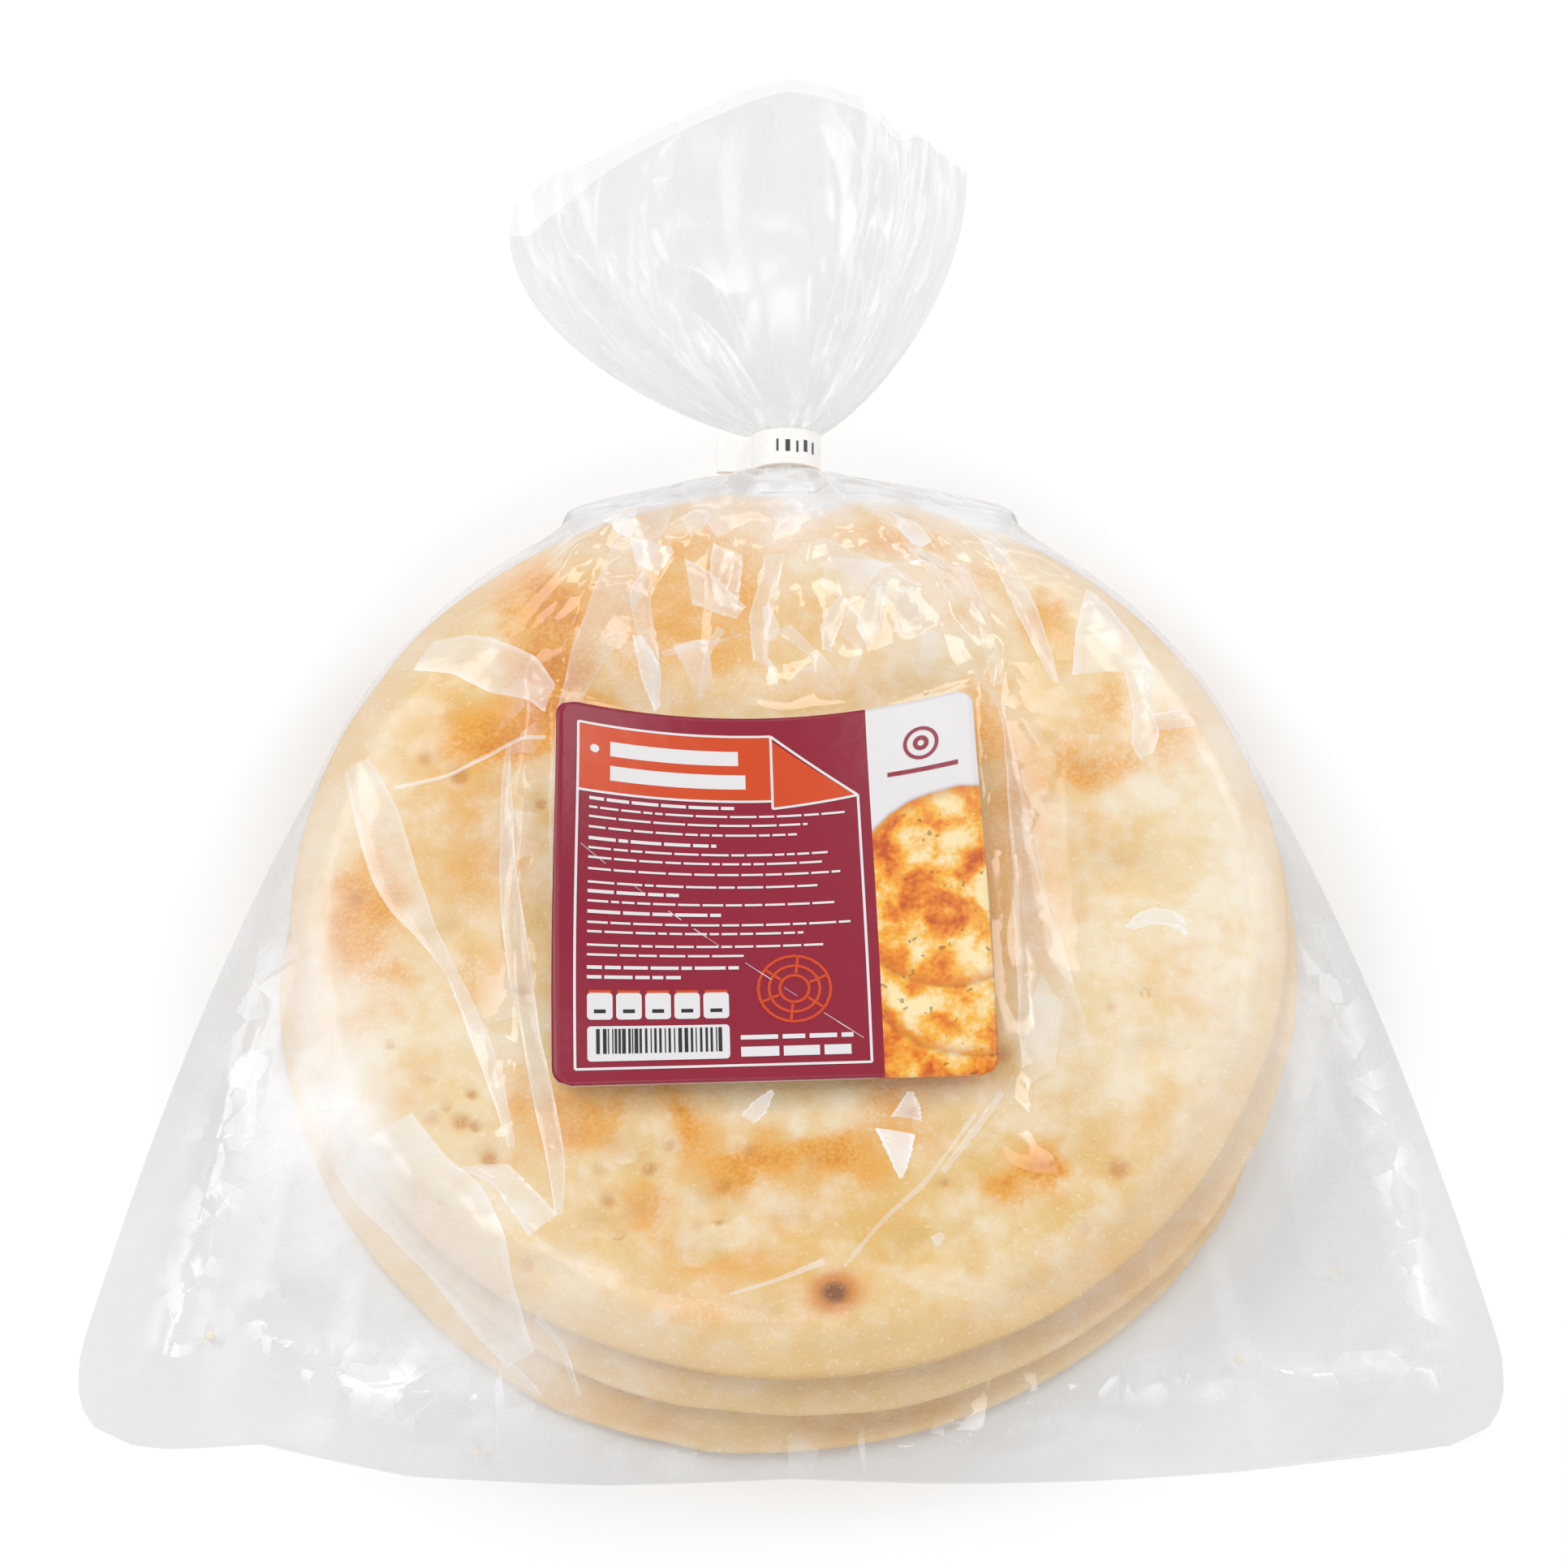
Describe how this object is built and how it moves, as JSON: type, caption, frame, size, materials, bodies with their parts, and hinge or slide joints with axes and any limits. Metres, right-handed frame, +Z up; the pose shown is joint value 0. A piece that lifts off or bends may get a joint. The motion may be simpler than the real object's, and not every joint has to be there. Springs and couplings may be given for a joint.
{
  "type": "bagged stack of round flatbreads",
  "caption": "Round flatbreads stacked in a clear plastic bag, its mouth gathered by a white clip, with a printed paper label on top, lying flat.",
  "frame": {"origin": "on the surface that the pack lies on, under the middle of the top bread", "axes": "+Z up, +Y from the bag's bottom seam to its gathered mouth, +X to the right seen from the seam"},
  "size_m": [0.2864, 0.3149, 0.0607],
  "materials": {
    "clear_film": "clear thin film over pale baked bread",
    "label_paper": "coated paper, printed in fields of colour",
    "clip_plastic": "matt white strip"
  },
  "bodies": {
    "root": {"bag": "clear_film", "label": "label_paper", "clip": "clip_plastic"}
  },
  "joints": []
}
